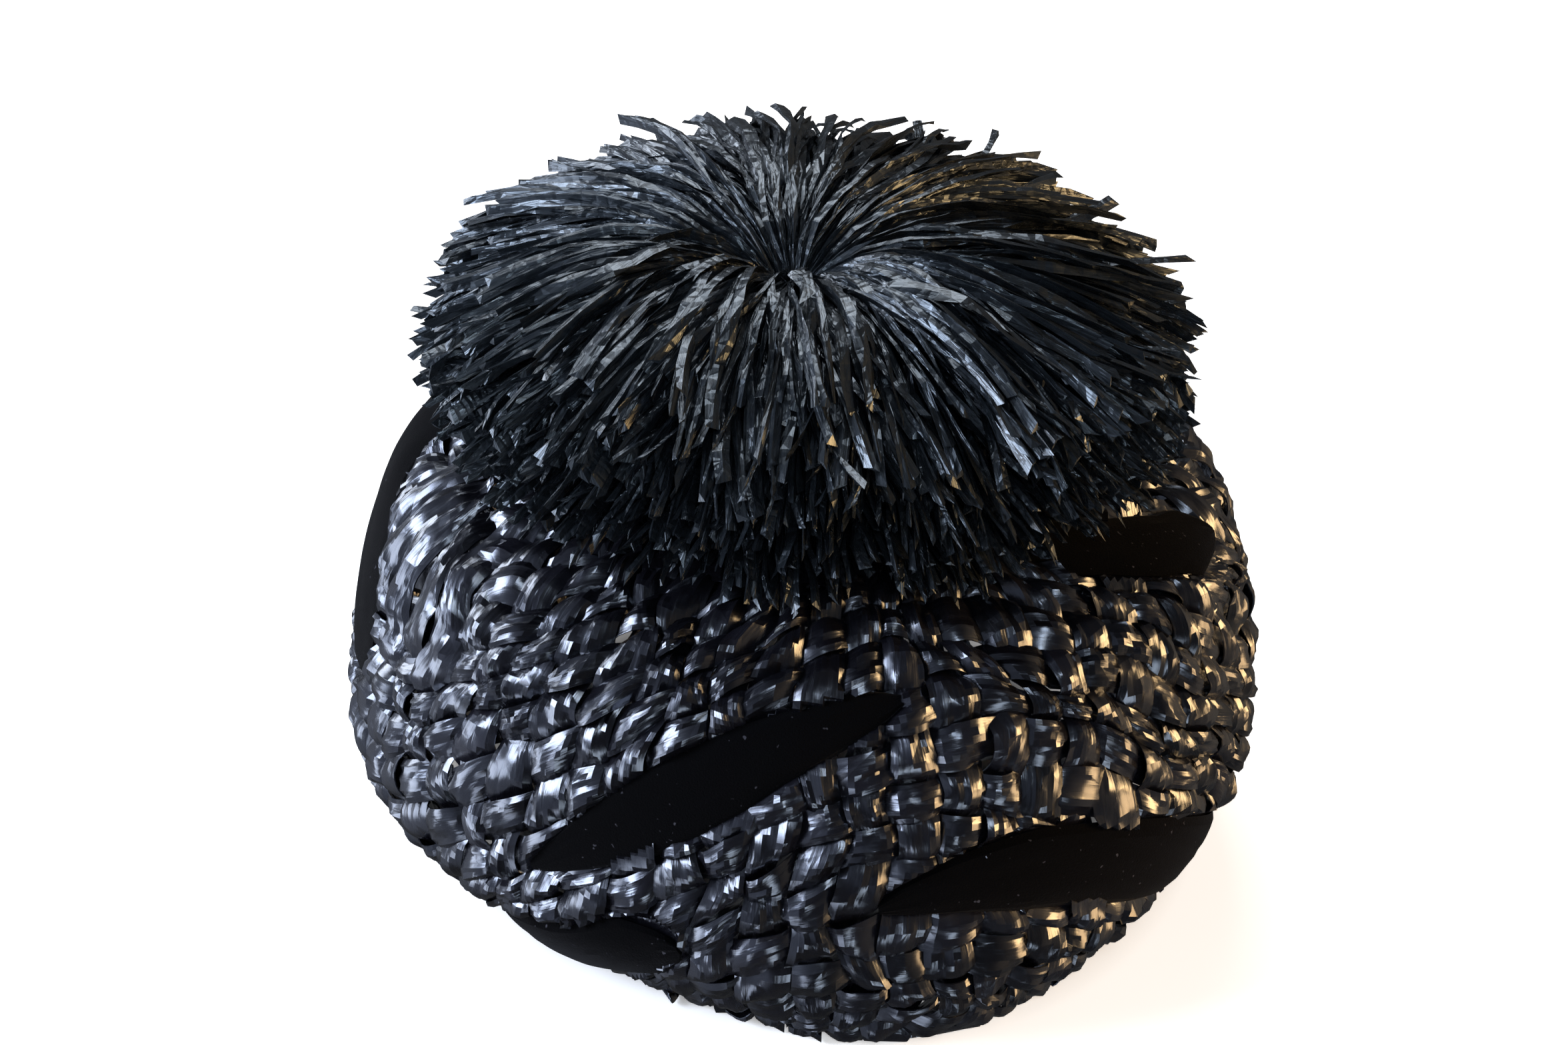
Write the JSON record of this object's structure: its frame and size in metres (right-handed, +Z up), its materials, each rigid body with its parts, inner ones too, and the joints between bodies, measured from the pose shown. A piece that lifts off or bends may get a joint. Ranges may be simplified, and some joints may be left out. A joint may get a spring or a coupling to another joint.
{
  "type": "pillbox hat",
  "caption": "Rounded pillbox hat plaited from flat glossy black straw, with velvet ribbons worked into the plait and a large flat pompom of cut straw on its crown.",
  "frame": {"origin": "under the middle of the hat's bounding box, on the level that its rim rests on", "axes": "+Z up through the crown to the pompom, -Y to the front of the hat, +X to the viewer's right"},
  "size_m": [0.2168, 0.2162, 0.1581],
  "materials": {
    "black_straw": "gloss",
    "pompom_straw": "satin",
    "black_velvet": "matte"
  },
  "bodies": {
    "root": {"straw_crown": "black_straw", "straw_pompom": "pompom_straw", "velvet_ribbon_front": "black_velvet", "velvet_ribbon_low_right": "black_velvet", "velvet_ribbon_low_left": "black_velvet", "velvet_ribbon_high_left": "black_velvet", "velvet_ribbon_high_right": "black_velvet", "velvet_ribbon_back": "black_velvet", "velvet_ribbon_back_low_left": "black_velvet", "velvet_ribbon_back_low_right": "black_velvet"}
  },
  "joints": []
}
